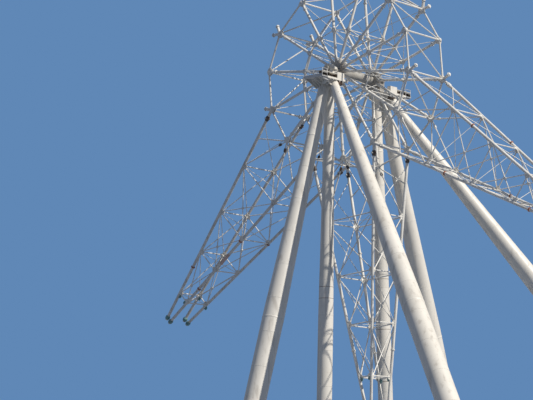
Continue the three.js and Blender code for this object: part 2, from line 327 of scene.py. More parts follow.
def bolts(centres, axes, size, height):
    """Hexagon bolt heads on a face: six sides, a chamfered top and a washer under them."""
    centres = np.atleast_2d(centres)
    axes = unit(np.broadcast_to(np.asarray(axes, float), centres.shape))
    sunk = centres - axes * 0.01
    washer = turned(sunk, sunk + axes * (0.01 + 0.25 * height), both_ends((0, 1.35 * size)), 8)
    head = turned(sunk, sunk + axes * (0.01 + height),
                  [(0, 0, 0), (0, 0, size), (1, 0.2 * height, size), (1, 0, 0.8 * size), (1, 0, 0)], 6)
    return washer, head


def circle(centre, axis, radius, count, start=0.0):
    """Points spread evenly round a circle about an axis."""
    first, second = across(unit(np.asarray(axis, float))[None])
    a = start + np.arange(count)[:, None] * 2 * math.pi / count
    return np.asarray(centre) + radius * (np.cos(a) * first + np.sin(a) * second)


print("makers ready: turned, hoops, plates, block, bolts")

# %% [markdown]
# A piece is one mesh of many such parts, in one finish, that moves with one body. Its object sits at
# the origin, unturned, so that a pattern on object coordinates stays put. Faces that meet at a
# shallow angle are shaded as one round surface, and sharper edges stay crisp.

# %% Pieces
ROUND_BELOW = math.radians(35.0)


def piece(name, parts, finish, body="wheel"):
    """Joins parts (points, quads, triangles) into one object that rides on a body."""
    points, faces, base = [], [], 0
    for p, q, t in parts:
        points.append(p)
        faces += (q + base).tolist() + (t + base).tolist()
        base += len(p)
    mesh = bpy.data.meshes.new(name)
    mesh.from_pydata(np.concatenate(points).tolist(), [], faces)
    mesh.shade_smooth()
    mesh.set_sharp_from_angle(angle=ROUND_BELOW)
    mesh.materials.append(finish)
    obj = bpy.data.objects.new(name, mesh)
    bpy.context.scene.collection.objects.link(obj)
    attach(obj, body)

# %% [markdown]
# A finish is a tree of shader nodes, and written out socket by socket such a tree is hard to follow.
# So a few helpers each make one node, or a short chain of them, with its inputs joined, and the
# trees below read almost like sums.

# %% Helpers for shader nodes
def add(tree, kind, setup=None, **values):
    """A shader node with its settings, and its inputs joined to a socket or set to a value. An
    input is called by its name, or by i and its number."""
    node = tree.nodes.new("ShaderNode" + kind)
    for key, value in (setup or {}).items():
        setattr(node, key, value)
    for key, value in values.items():
        socket = node.inputs[int(key[1:]) if key[1:].isdigit() else key.replace("_", " ")]
        if isinstance(value, bpy.types.NodeSocket):
            tree.links.new(value, socket)
        else:
            socket.default_value = value
    return node


def sums(tree, operation, *values, kind="Math"):
    """The outputs of one arithmetic node on numbers, vectors or sockets."""
    return add(tree, kind, {"operation": operation}, **{f"i{i}": v for i, v in enumerate(values)}).outputs


def own_point(tree, start):
    """The object's own coordinates, counted from start."""
    return sums(tree, "SUBTRACT", add(tree, "TexCoord").outputs["Object"], start, kind="VectorMath")[0]


def reach_along(tree, start, way):
    """How far the object's points lie from start in a direction: their offset dotted with it."""
    return sums(tree, "DOT_PRODUCT", own_point(tree, start), way, kind="VectorMath")["Value"]


def step_up(tree, value, low, high):
    """A smooth step from 0 where value is low to 1 where it is high."""
    setup = {"interpolation_type": "SMOOTHSTEP"}
    return add(tree, "MapRange", setup, Value=value, From_Min=low, From_Max=high).outputs[0]


def tint(tree, factor, a, b):
    """Colour a, turning to colour b where the factor is 1."""
    a, b = ((*v, 1) if isinstance(v, tuple) else v for v in (a, b))
    return add(tree, "Mix", {"data_type": "RGBA"}, i0=factor, i6=a, i7=b).outputs[2]


def shader_group(name, inputs, outputs):
    """An empty group with named inputs (kind and first value) and number outputs."""
    tree = bpy.data.node_groups.new(name, "ShaderNodeTree")
    for label, (kind, value) in inputs.items():
        socket = tree.interface.new_socket(name=label, in_out="INPUT", socket_type="NodeSocket" + kind)
        socket.default_value = value
    for label in outputs:
        tree.interface.new_socket(name=label, in_out="OUTPUT", socket_type="NodeSocketFloat")
    return tree, tree.nodes.new("NodeGroupInput").outputs, tree.nodes.new("NodeGroupOutput").inputs


print("helpers ready: add, sums, own_point, reach_along, step_up, tint")

# %% [markdown]
# The finishes are built from a few shared effects. Weathering gives a slow mottle, thin streaks that
# run down the surface and small specks. Courses paints what shows that a big tube is welded from
# short cans: each can a slightly different tone, and a faint line at each joint. Clear of chord
# finds the part of an arm's face that lies inward of one of its chords. All three read the
# object's own coordinates, so they stay on the steel when the wheel turns.

# %% Shared shader groups
weathering, given, result = shader_group(
    "Weathering", {"Size": ("Float", 1.0), "Seed": ("Float", 0.0)}, ["Mottle", "Streaks", "Specks", "Grain"])
place = add(weathering, "TexCoord").outputs["Object"]
finer = sums(weathering, "DIVIDE", 1.0, given["Size"])[0]
small = add(weathering, "VectorMath", {"operation": "SCALE"}, i0=place, Scale=finer).outputs[0]
aside = add(weathering, "CombineXYZ", X=given["Seed"], Y=given["Seed"]).outputs[0]
spot = sums(weathering, "ADD", small, aside, kind="VectorMath")[0]
drawn_out = sums(weathering, "MULTIPLY", spot, (5.0, 5.0, 0.32), kind="VectorMath")[0]
for label, vector, scale, detail, low, high in (
        ("Mottle", spot, 0.9, 5.0, 0.38, 0.66), ("Streaks", drawn_out, 1.0, 4.0, 0.52, 0.72),
        ("Specks", spot, 9.0, 3.0, 0.63, 0.72), ("Grain", spot, 55.0, 2.0, 0.3, 0.7)):
    noise = add(weathering, "TexNoise", Vector=vector, Scale=scale, Detail=detail).outputs[0]
    weathering.links.new(step_up(weathering, noise, low, high), result[label])

courses, given, result = shader_group(
    "Courses", {"Start": ("Vector", (0, 0, 0)), "Axis": ("Vector", (0, 0, 1)), "Length": ("Float", 2.4),
                "Width": ("Float", 0.05)}, ["Tone", "Seam"])
run = reach_along(courses, given["Start"], given["Axis"])
count = sums(courses, "DIVIDE", run, given["Length"])[0]
number = sums(courses, "FLOOR", count)[0]
tone = add(courses, "TexWhiteNoise", {"noise_dimensions": "1D"}, W=number).outputs[0]
courses.links.new(tone, result["Tone"])
nearest = sums(courses, "MULTIPLY", sums(courses, "PINGPONG", count, 0.5)[0], given["Length"])[0]
seam = sums(courses, "SUBTRACT", 1.0, step_up(courses, nearest, 0.0, given["Width"]))[0]
courses.links.new(seam, result["Seam"])

CHORD_EDGE = (0.11, 0.125)  # from a chord's axis: its tube ends, and the bars beside it begin
clearance, given, result = shader_group(
    "Clear of chord", {"Start": ("Vector", (0, 0, 0)), "Inward": ("Vector", (0, 0, 1))}, ["Clear"])
inward = reach_along(clearance, given["Start"], given["Inward"])
clearance.links.new(step_up(clearance, inward, *CHORD_EDGE), result["Clear"])
print("groups:", weathering.name, courses.name, clearance.name)

# %% [markdown]
# Outdoor steel is never one even colour. Every finish below starts from its paint, goes a little
# darker where the mottle says, and gets grey-brown streaks and a few specks. Some have more: a leg
# is dustier near its foot, the spokes go darker near the axle, and on the left arm the chords are
# painted darker, as painted shade, than the pale bars between them. Roughness follows the same
# masks, because dirt is duller than paint, and a fine grain in the height breaks up the gloss.

# %% A painted or bare steel finish
PALE, CREAM, CREAM_WORN = (0.81, 0.79, 0.73), (0.80, 0.765, 0.69), (0.66, 0.625, 0.55)
GRIME, RUST, DUST = (0.30, 0.265, 0.22), (0.20, 0.085, 0.035), (0.34, 0.29, 0.22)
AXLE_DARKENING, AXLE_DARKENING_REACH = 0.8, (0.4, 1.3)  # how much, and it thins out this far from the axle
DUSTY, DUST_REACH = 0.55, (0.2, 3.4)  # how much, and it thins out at these heights above the feet
CAN_TONE, SEAM_TONE = 0.28, 0.35  # how far a can turns to the worn colour, and a joint to dirt
GRAIN_DULLS, GRAIN_RELIEF, GRAIN_HEIGHT = 0.4, 0.15, 0.004


def steel_finish(name, paint, worn, dirt, amounts, size, seed=0.0, roughness=(0.4, 0.65), metallic=0.0,
                 dust=False, darker_near_axle=False, cans=None, chords=()):
    """A finish from a paint colour, a worn colour, a dirt colour and the amounts of
    (mottle, streaks, specks). cans gives the inputs of Courses for a tube. chords gives points
    and inward directions of a face's chords, and what lies between them is pale."""
    finish = bpy.data.materials.new(name)
    finish.use_nodes = True
    tree = finish.node_tree
    shader = tree.nodes["Principled BSDF"]
    masks = add(tree, "Group", {"node_tree": weathering}, Size=size, Seed=seed).outputs
    mottle, streaks, specks = (sums(tree, "MULTIPLY", masks[label], amount)[0]
                               for label, amount in zip(("Mottle", "Streaks", "Specks"), amounts))
    colour = tint(tree, mottle, paint, worn)
    if chords:
        clear = [add(tree, "Group", {"node_tree": clearance}, Start=start, Inward=inward).outputs[0]
                 for start, inward in chords]
        colour = tint(tree, sums(tree, "MULTIPLY", *clear)[0], colour, PALE)
    if cans:
        tube = add(tree, "Group", {"node_tree": courses}, **cans).outputs
        colour = tint(tree, sums(tree, "MULTIPLY", tube["Tone"], CAN_TONE)[0], colour, worn)
        colour = tint(tree, sums(tree, "MULTIPLY", tube["Seam"], SEAM_TONE)[0], colour, dirt)
    colour = tint(tree, streaks, colour, dirt)
    colour = tint(tree, specks, colour, RUST)
    # The colour turns toward the grime colour close to the axle, so the spokes are darker there.
    if darker_near_axle:
        level = sums(tree, "MULTIPLY", own_point(tree, tuple(HUB)), (1.0, 0.0, 1.0), kind="VectorMath")[0]
        reach = sums(tree, "LENGTH", level, kind="VectorMath")["Value"]
        axle_darkening = sums(tree, "SUBTRACT", AXLE_DARKENING, step_up(tree, reach, *AXLE_DARKENING_REACH))[0]
        colour = tint(tree, axle_darkening, colour, GRIME)
    if dust:
        height = add(tree, "SeparateXYZ", i0=add(tree, "TexCoord").outputs["Object"]).outputs[2]
        uneven = sums(tree, "ADD", height, masks["Mottle"])[0]
        low = sums(tree, "SUBTRACT", 1.0, step_up(tree, uneven, *DUST_REACH))[0]
        colour = tint(tree, sums(tree, "MULTIPLY", low, DUSTY)[0], colour, DUST)
    tree.links.new(colour, shader.inputs["Base Color"])
    grain = sums(tree, "MULTIPLY", masks["Grain"], GRAIN_DULLS)[0]
    dull = sums(tree, "MAXIMUM", masks["Streaks"], grain)[0]
    rough = add(tree, "MapRange", Value=dull, To_Min=roughness[0], To_Max=roughness[1]).outputs[0]
    tree.links.new(rough, shader.inputs["Roughness"])
    shader.inputs["Metallic"].default_value = metallic
    bump = add(tree, "Bump", Strength=GRAIN_RELIEF, Distance=GRAIN_HEIGHT, Height=masks["Grain"])
    tree.links.new(bump.outputs[0], shader.inputs["Normal"])
    return finish


# %% [markdown]
# The finishes themselves. Most of the wheel wears one pale paint, the legs a warmer cream, and the
# left arm a darker coat that is painted shade. The rear bearing is painted dark grey as painted
# shade, the flanges of the arms red with primer, and their ends dark green. Bolts and gratings are
# zinc, and the feet are bare plate.

# %% Finishes
LATTICE = dict(paint=PALE, worn=(0.64, 0.615, 0.56), dirt=GRIME, amounts=(0.55, 0.35, 0.5), size=0.8)
# The arm colours are darker than the lattice paint as painted shade, for the left arm's chords seen on their
# shaded side.
ARM = dict(paint=(0.76, 0.73, 0.665), worn=(0.56, 0.525, 0.465), dirt=GRIME, amounts=(0.8, 0.5, 0.5),
           size=0.7, seed=3.0)
lattice_paint = steel_finish("lattice_paint", **LATTICE)
spoke_paint = steel_finish("spoke_paint", **LATTICE, darker_near_axle=True)
arm_paint = steel_finish("arm_paint", **ARM)
# On the left arm's faces the chords keep this painted shade, and the bars between them are pale.
shaded_face_paint = steel_finish("shaded_face_paint", **ARM, chords=[
    (tuple(arm_point(9, edge, 0, ARM_ROOT)), tuple(arm_axes(9, edge, 0)[1])) for edge in (0, 1)])
head_paint = steel_finish("head_paint", CREAM, CREAM_WORN, GRIME, (0.45, 0.45, 0.3), size=0.6, seed=5.0)
HOUSING = {
    "front": steel_finish("housing_paint", (0.76, 0.73, 0.66), (0.58, 0.55, 0.49), GRIME, (0.6, 0.5, 0.5),
                          size=0.4, seed=7.0),
    # The rear housing is painted dark grey as painted shade; the front one has its own pale paint.
    "rear": steel_finish("shaded_rear_housing", (0.36, 0.34, 0.31), (0.28, 0.26, 0.24), GRIME, (0.6, 0.4, 0.4),
                         size=0.4, seed=7.5)}
axle_paint = steel_finish("axle_paint", (0.45, 0.435, 0.395), (0.34, 0.32, 0.285), GRIME, (0.7, 0.6, 0.5),
                          size=0.5, seed=8.0)
turned_steel = steel_finish("turned_steel", (0.40, 0.39, 0.37), (0.26, 0.245, 0.22), (0.12, 0.10, 0.08),
                            (0.7, 0.4, 0.3), roughness=(0.3, 0.5), metallic=0.85, size=0.3, seed=9.0)
# Dark steel for the knuckles; the same dark finish is painted shade on the edge webs and the stop brackets.
dark_steel_and_shade = steel_finish("dark_steel_and_shade", (0.085, 0.08, 0.072), (0.15, 0.09, 0.06), (0.05, 0.045, 0.04),
                          (0.7, 0.4, 0.5), roughness=(0.45, 0.75), metallic=0.3, size=0.35, seed=11.0)
ring_paint = steel_finish("ring_paint", (0.30, 0.25, 0.20), (0.20, 0.16, 0.12), GRIME, (0.8, 0.5, 0.4),
                          size=0.3, seed=12.0)
primer = steel_finish("red_primer", (0.42, 0.17, 0.10), (0.30, 0.13, 0.08), (0.16, 0.10, 0.08),
                      (0.7, 0.5, 0.3), roughness=(0.6, 0.8), size=0.35, seed=13.0)
thin_primer = steel_finish("thin_primer", (0.64, 0.45, 0.37), (0.52, 0.35, 0.28), GRIME, (0.7, 0.5, 0.3),
                           roughness=(0.55, 0.8), size=0.35, seed=14.0)
end_paint = steel_finish("end_paint", (0.16, 0.33, 0.32), (0.13, 0.22, 0.20), (0.05, 0.05, 0.045),
                         (0.6, 0.5, 0.4), roughness=(0.5, 0.7), size=0.35, seed=15.0)
zinc = steel_finish("zinc", (0.50, 0.50, 0.49), (0.34, 0.335, 0.32), (0.17, 0.14, 0.10), (0.7, 0.5, 0.4),
                    roughness=(0.35, 0.6), metallic=0.8, size=0.15, seed=17.0)
grating_zinc = steel_finish("grating_zinc", (0.60, 0.605, 0.60), (0.46, 0.46, 0.45), (0.2, 0.17, 0.14),
                            (0.8, 0.4, 0.3), roughness=(0.45, 0.65), metallic=0.5, size=0.3, seed=19.0)
base_steel = steel_finish("base_steel", (0.36, 0.355, 0.34), (0.27, 0.24, 0.20), (0.16, 0.12, 0.09),
                          (0.8, 0.5, 0.7), roughness=(0.55, 0.8), metallic=0.2, size=0.5, seed=21.0,
                          dust=True)
print("finishes:", len(bpy.data.materials))

# %% [markdown]
# The solids arrive as loose triangles, so a round tube would look like a prism. A small geometry
# tree merges the points that coincide and shades shallow angles as one surface. It is a live
# modifier, so the frame's own meshes stay as they are.

# %% Round shading for the frame's tubes
MERGE, CRISP_ABOVE = 0.0001, math.radians(48.0)
rounding = bpy.data.node_groups.new("rounding", "GeometryNodeTree")
for way in ("INPUT", "OUTPUT"):
    rounding.interface.new_socket(name="Geometry", in_out=way, socket_type="NodeSocketGeometry")
enter, leave, unlock, merge, smooth, crisp, edge_angle, sharp = (rounding.nodes.new(kind) for kind in (
    "NodeGroupInput", "NodeGroupOutput", "GeometryNodeRemoveAttribute", "GeometryNodeMergeByDistance",
    "GeometryNodeSetShadeSmooth", "GeometryNodeSetShadeSmooth", "GeometryNodeInputMeshEdgeAngle",
    "ShaderNodeMath"))
unlock.inputs["Name"].default_value = "custom_normal"
merge.inputs["Distance"].default_value = MERGE
smooth.domain, crisp.domain = "FACE", "EDGE"
crisp.inputs["Shade Smooth"].default_value = False
sharp.operation = "GREATER_THAN"
sharp.inputs[1].default_value = CRISP_ABOVE
for a, b in ((enter.outputs[0], unlock.inputs["Geometry"]), (unlock.outputs[0], merge.inputs["Geometry"]),
             (merge.outputs[0], smooth.inputs["Geometry"]), (smooth.outputs[0], crisp.inputs["Geometry"]),
             (edge_angle.outputs[0], sharp.inputs[0]), (sharp.outputs[0], crisp.inputs["Selection"]),
             (crisp.outputs[0], leave.inputs[0])):
    rounding.links.new(a, b)
for node in nodes.values():
    node.modifiers.new("rounding", "NODES").node_group = rounding
print("rounded nodes:", len(nodes))

# %% [markdown]
# Each leg gets its own copy of the cream paint, because its cans are counted along its own axis.
# The other nodes share the finishes above.

# %% Paint the frame
CAN, CAN_SEAM = 2.4, 0.035  # length of one welded can, and how far the mark of its joint reaches


def leg_direction(kind, side):
    """The unit vector down a leg's axis."""
    return unit(leg_axis(kind, side, 1.0) - leg_axis(kind, side, 0.0))


def dress(node, finish):
    """Gives a frame node its finish in place of the flat one it came with."""
    nodes[node].data.materials.clear()
    nodes[node].data.materials.append(finish)


for word, side in SIDES.items():
    for number, kind in enumerate(RAKES):
        start, axis = leg_axis(kind, side, HEAD_DROP), leg_direction(kind, side)
        tube = dict(Start=tuple(start), Axis=tuple(axis), Length=CAN, Width=CAN_SEAM)
        dress(f"{word}_{kind}", steel_finish(
            f"{word}_{kind}_paint", CREAM, CREAM_WORN, GRIME, (0.4, 0.4, 0.12), size=1.6,
            seed=2.0 * number + side, dust=True, cans=tube))
        dress(f"{word}_{kind}_foot", base_steel)
    dress(f"{word}_leg_head", head_paint)
    dress(f"{word}_bearing", HOUSING[word])
    dress(f"{word}_platform", grating_zinc)
dress("axle", axle_paint)
for name in nodes:
    if name.startswith("left_arm") and name.endswith("face"):
        dress(name, shaded_face_paint)
    elif "spokes" in name:
        dress(name, spoke_paint)
    elif name.startswith("ring") or "_arm_" in name:
        dress(name, lattice_paint)
print("dressed:", sum(bool(o.data.materials) for o in nodes.values()))

# %% [markdown]
# Weld beads. A leg is welded from cans of rolled plate, and each joint leaves a low bead round it.
# A texture alone would be gone in the shape, so each bead is a thin hoop sunk into the tube.

# %% Weld beads on the legs
X_AXIS, Y_AXIS, Z_AXIS = np.eye(3)
LAST_DROP = HEAD_Z - 1.2  # no bead lies lower than 1.2 above the feet
SUNK = 0.03  # how far a bead or a band reaches into the tube


def leg_hoops(kind, side, drops, proud, half):
    """Hoops round a leg: its radius less SUNK to its radius plus proud, half to either side."""
    r = leg_radius(kind, drops)
    axes = np.broadcast_to(leg_direction(kind, side), (len(drops), 3))
    return hoops(leg_axis(kind, side, drops), axes, r - SUNK, r + proud, half)


for word, side in SIDES.items():
    beads = []
    for kind in RAKES:
        per_drop = CAN / np.linalg.norm(leg_axis(kind, side, 1.0) - leg_axis(kind, side, 0.0))
        drops = np.arange(HEAD_DROP + per_drop, LAST_DROP, per_drop)
        beads.append(leg_hoops(kind, side, drops, 0.008, 0.02))
    piece(f"{word}_leg_welds", beads, head_paint, "frame")

# %% [markdown]
# Site joints. Where two lengths of leg were joined in the air, the real tubes carry a wider
# band. Each column has a few more joints lower down, seen as thin brown rings; the two columns
# were built from different lengths, so the rings aren't level with each other.

# %% Site joints
BAND_DROPS = {"column": [HEAD_DROP], "outer_leg": [HEAD_DROP, 17.0], "side_leg": [HEAD_DROP, 17.0]}
RING_DROPS = {"front": [14.39, 15.17], "rear": [13.3, 16.8, 20.4]}
for word, side in SIDES.items():
    bands = [leg_hoops(kind, side, np.array(BAND_DROPS[kind]), 0.014, 0.06) for kind in RAKES]
    rings = leg_hoops("column", side, np.array(RING_DROPS[word]), 0.008, 0.022)
    piece(f"{word}_leg_joint_bands", bands, head_paint, "frame")
    piece(f"{word}_column_joint_rings", [rings], ring_paint, "frame")

# %% [markdown]
# Leg heads. The saddle plate under the bearing overhangs the tubes, so triangular stiffeners
# hold its edges up, and flat ones stand in the box beam. One outline serves for all the
# triangular ones, in three sizes, turned to each edge.

# %% Stiffeners under the saddle plates
SADDLE_LOW = SADDLE_Z - 0.13
RIB_TOP = SADDLE_LOW + 0.01  # a stiffener goes this far into the saddle plate
OUTER_EDGE, RIGHT_EDGE, LEFT_EDGE = 4.28, 1.185, -0.605  # outward from the middle; along X from the hub
BEAM_Y, BEAM_Z = (2.27, 3.0), (HUB[2] - 1.28, HUB[2] - 1.02)


def wedge(reach, drop, toe, tip=0.08):
    """A stiffener's outline: level on top, upright at its tip and its toe, sloping in between."""
    return [(-reach, -drop), (toe - reach, -drop), (0, -tip), (0, 0), (-reach, 0)]


def hung_plates(corners, outline, x_axis, thickness=0.04):
    """Upright plates that hang from an edge. The outline is given by distance outward and height
    from each corner point; x_axis points outward."""
    outline = np.asarray(outline, float)
    middle = (outline.max(0) + outline.min(0)) / 2
    centres = np.asarray(corners, float) + middle[0] * x_axis + middle[1] * Z_AXIS
    return plates(centres, x_axis, Z_AXIS, outline - middle, thickness)


def sided(side, x, y, z, chamfer=0.02):
    """A block on the front or the rear, from its ranges along X, outward from the middle and up."""
    near, far = sorted((side * y[0], side * y[1]))
    return block([HUB[0] + x[0], near, z[0]], [HUB[0] + x[1], far, z[1]], chamfer)


for word, side in SIDES.items():
    outer = [[HUB[0] + x, side * OUTER_EDGE, RIB_TOP] for x in (-0.5, -0.25, 0.0, 0.25, 0.6, 0.9)]
    right_edge = [[HUB[0] + RIGHT_EDGE, side * y, RIB_TOP] for y in (2.7, 3.0, 3.35, 3.7, 4.05)]
    left_edge = [[HUB[0] + LEFT_EDGE, side * y, RIB_TOP] for y in (2.5, 2.85, 3.2, 3.5)]
    ribs = [hung_plates(outer, wedge(0.9, 0.42, 0.15), side * Y_AXIS),
            hung_plates(right_edge, wedge(0.68, 0.34, 0.13), X_AXIS),
            hung_plates(left_edge, wedge(0.3, 0.3, 0.08), -X_AXIS)]
    beam = [sided(side, (x - 0.02, x + 0.02), BEAM_Y, BEAM_Z) for x in (-0.5, -0.25, 0.0, 0.25, 0.57)]
    piece(f"{word}_saddle_stiffeners", ribs + beam, head_paint, "frame")

# %% [markdown]
# Edge beams. Along its right edge each saddle carries a channel that goes on past the platform. Its
# flange catches the sun; its web is set back under the flange and painted dark as painted shade,
# which draws the dark band under the bearing. A short bracket hangs below the end stop, painted dark as
# painted shade.

# %% Edge beams and stop brackets
CHANNEL_Y, CHANNEL_Z = (3.3, 4.885), (SADDLE_Z - 0.03, SADDLE_Z + 0.26)
for word, side in SIDES.items():
    web = sided(side, (0.89, 0.93), CHANNEL_Y, CHANNEL_Z)
    flange = sided(side, (0.89, 1.2), CHANNEL_Y, (SADDLE_Z + 0.255, SADDLE_Z + 0.29))
    ribs = [sided(side, (0.92, 1.16), (y - 0.012, y + 0.012), CHANNEL_Z) for y in (3.31, 4.1, 4.87)]
    bracket = [sided(side, (0.86, 1.14), (2.66, 3.1), (SADDLE_LOW - 0.25, SADDLE_LOW + 0.01)),
               sided(side, (0.83, 1.17), (2.63, 3.13), (SADDLE_LOW - 0.28, SADDLE_LOW - 0.24))]
    piece(f"{word}_edge_beams", [flange], head_paint, "frame")
    # The webs and brackets are painted dark as painted shade.
    piece(f"{word}_edge_webs", [web, *ribs], dark_steel_and_shade, "frame")
    piece(f"{word}_stop_brackets", bracket, dark_steel_and_shade, "frame")

# %% [markdown]
# Bearings. A plummer block is held down by three bolts on each side, its cap is clamped by two
# more on each side of the journal, and a bolted cover closes each end. These are what the eye looks
# for in a bearing, so they are modelled as solid parts. The ring on top is for lifting it.

# %% Bearing covers, ears and bolts
COVER_Y, EAR_X = 0.285, 0.42  # from the bearing's middle
EYE_STEM = [(0, 0, 0), (0, 0, 0.035), (1, 0, 0.03), (1, 0, 0)]
for word, side in SIDES.items():
    mid = HUB + [0, side * BEARING_Y, 0]
    covers, hardware = [], []
    for face in (-Y_AXIS, Y_AXIS):
        centre = mid + face * COVER_Y
        covers.append(hoops(centre, Y_AXIS, 0.245, 0.345, 0.03, 48))
        hardware += bolts(circle(centre + face * 0.024, Y_AXIS, 0.3, 10, 0.2), face, 0.02, 0.03)
    ears = [block(mid + [x - 0.1, -0.19, -0.075], mid + [x + 0.1, 0.19, 0.075]) for x in (-EAR_X, EAR_X)]
    on_cap = [mid + [x, y, 0.072] for x in (-0.45, 0.45) for y in (-0.11, 0.11)]
    on_base = [mid + [x, y, -0.773] for x in (-EAR_X, EAR_X) for y in (-0.2, 0, 0.2)]
    hardware += [*bolts(on_cap, Z_AXIS, 0.04, 0.07), *bolts(on_base, Z_AXIS, 0.035, 0.06)]
    eye_stem = turned(mid + [0, 0, 0.35], mid + [0, 0, 0.43], EYE_STEM, 12)
    eye_ring = hoops(mid + [0, 0, 0.48], X_AXIS, 0.035, 0.075, 0.02, 24, soft=1.0)
    piece(f"{word}_bearing_covers", covers + ears, HOUSING[word], "frame")
    piece(f"{word}_bearing_bolts", [*hardware, eye_stem, eye_ring], zinc, "frame")

# %% [markdown]
# Service platforms. The bearing is looked after from a deck of open grating: narrow bars on edge one
# way and thin rods the other, with toe boards on two sides and brackets down to the tubes. Bars and
# rods are real geometry, because light falls through a grating.

# %% Platforms
DECK_TOP, DECK_NEAR, DECK_FAR = SADDLE_Z - 0.04, 4.32, 4.88
BOARD_Z = (DECK_TOP - 0.05, DECK_TOP + 0.13)
for word, side in SIDES.items():
    bars = [sided(side, (-0.38, 1.18), (y - 0.008, y + 0.008), (DECK_TOP - 0.01, DECK_TOP + 0.03), 0.003)
            for y in np.linspace(DECK_NEAR + 0.03, DECK_FAR - 0.03, 12)]
    row = np.linspace(-0.35, 1.15, 16)[:, None] * X_AXIS + [HUB[0], 0, DECK_TOP + 0.03]
    start, end = (row + [0, side * y, 0] for y in (DECK_NEAR, DECK_FAR))
    cross_rods = turned(start, end, both_ends((0, 0.006)), 6)
    boards = [sided(side, (-0.395, 1.195), (4.886, 4.898), BOARD_Z, 0.004),
              sided(side, (-0.396, -0.384), (4.31, 4.89), BOARD_Z, 0.004)]
    corners = [[HUB[0] + x, side * 4.86, DECK_TOP - 0.055] for x in (-0.3, 0.4, 1.1)]
    brackets = hung_plates(corners, wedge(0.7, 0.2, 0.1, tip=0.07), side * Y_AXIS, 0.03)
    piece(f"{word}_platform_grating", [*bars, cross_rods], grating_zinc, "frame")
    piece(f"{word}_platform_boards", [*boards, brackets], grating_zinc, "frame")

# %% [markdown]
# Feet. Each base plate is held by sixteen anchor bolts with a square washer and two nuts, and a
# fillet weld runs round the leg. A slanting tube meets the plate in an ellipse, so the
# fillet is a hoop stretched along the rake.

# %% Anchor bolts and fillets
EDGE = 1.12  # the anchor bolts stand on the sides of a square, this far from its middle
PLATE_TOP = 0.1
run, edge = EDGE * np.array([-1, -0.5, 0, 0.5]), np.full(4, EDGE)
anchors = np.concatenate([np.stack([x, y, np.full(4, PLATE_TOP)], 1)
                          for x, y in ((run, -edge), (edge, run), (-run, edge), (-edge, -run))])
WASHER = [(0.11, -0.11), (0.11, 0.11), (-0.11, 0.11), (-0.11, -0.11)]
STUD = [(0, 0, 0), (0, 0, 0.035), (1, 0.015, 0.035), (1, 0, 0.025), (1, 0, 0)]
NUT = both_ends((0, 0.055), (0.01, 0.065))
for word, side in SIDES.items():
    hardware, fillets = [], []
    for kind in RAKES:
        points = anchors + leg_axis(kind, side, HEAD_Z)
        hardware.append(plates(points + [0, 0, 0.01], X_AXIS, Y_AXIS, WASHER, 0.03))
        hardware.append(turned(points, points + [0, 0, 0.24], STUD, 10))
        for low in (0.02, 0.085):
            hardware.append(turned(points + [0, 0, low], points + [0, 0, low + 0.06], NUT, 6))
        axis = leg_direction(kind, side)
        level = unit(np.array([axis[0], axis[1], 0.0]))
        stretch = (level / abs(axis[2]))[None], np.cross(Z_AXIS, level)[None]
        seat = leg_axis(kind, side, HEAD_Z - PLATE_TOP - 0.015)
        r = leg_radius(kind, HEAD_Z)
        fillets.append(hoops(seat, Z_AXIS, r - 0.02, r + 0.035, 0.03, 56, squash=stretch))
    piece(f"{word}_anchor_bolts", hardware, zinc, "frame")
    piece(f"{word}_foot_fillets", fillets, base_steel, "frame")

# %% [markdown]
# Hub. The spokes end in a bolted flange on each side of the axle drum. A ring of bolts shows on
# both of its faces, with a raised collar round the journal, and a cap closes each end of the axle.

# %% Hub flanges and axle ends
FLANGE_FACE, FLANGE_BACK = RING_Y + 0.09, RING_Y - 0.09  # its two faces, from the middle
AXLE_END = 3.06
CAP = [(0, 0, 0), (0, 0, 0.2), (1, 0.012, 0.2), (1, 0, 0.185), (1, 0, 0.07), (1, 0.012, 0.06), (1, 0.012, 0)]
for word, side in SIDES.items():
    away = side * Y_AXIS
    face, back, end = (HUB + away * y for y in (FLANGE_FACE, FLANGE_BACK, AXLE_END))
    heads = [*bolts(circle(face, Y_AXIS, 0.43, 28), away, 0.024, 0.035),
             *bolts(circle(back, Y_AXIS, 0.47, 28), -away, 0.024, 0.035)]
    collar = hoops(face + away * 0.02, Y_AXIS, 0.225, 0.34, 0.045, 48)
    cap = turned(end - away * 0.02, end + away * 0.03, CAP, 40)
    cap_bolts = bolts(circle(end + away * 0.028, Y_AXIS, 0.145, 8), away, 0.017, 0.022)
    piece(f"{word}_hub_bolts", heads, zinc, "wheel")
    piece(f"{word}_hub_collar", [collar], turned_steel, "wheel")
    piece(f"{word}_axle_cap", [cap], axle_paint, "wheel")
    piece(f"{word}_axle_cap_bolts", cap_bolts, zinc, "wheel")

# %% [markdown]
# Spokes. Each spoke is a tube with a short thicker sleeve at the hub and a pair of bolted flanges
# before it reaches the ring. They are turned about the spoke's own axis, all fourteen in one step.

# %% Spoke sleeves and flanges
K = np.arange(1, 15)
SLEEVE = [(0, 0, 0), (0, 0, 0.10), (0, 0.03, 0.125), (1, 0.06, 0.125), (1, 0, 0.098), (1, 0, 0)]
FLANGE_PAIR = both_ends((0, 0.135), (0.008, 0.143), (0.038, 0.143), (0.041, 0.137))
for word, side in SIDES.items():
    sleeves = turned(ring_point(K, side, 0.57), ring_point(K, side, 0.9), SLEEVE, 16)
    flanges = turned(ring_point(K, side, 5.6), ring_point(K, side, 5.684), FLANGE_PAIR, 18)
    piece(f"{word}_spoke_sleeves", [sleeves], spoke_paint)
    piece(f"{word}_spoke_flanges", [flanges], lattice_paint)

# %% [markdown]
# Ring nodes. Bars from five directions meet in each node, and flat gusset plates tie them together.
# A gusset is one outline, drawn in the node's own axes: along the ring, and outward.

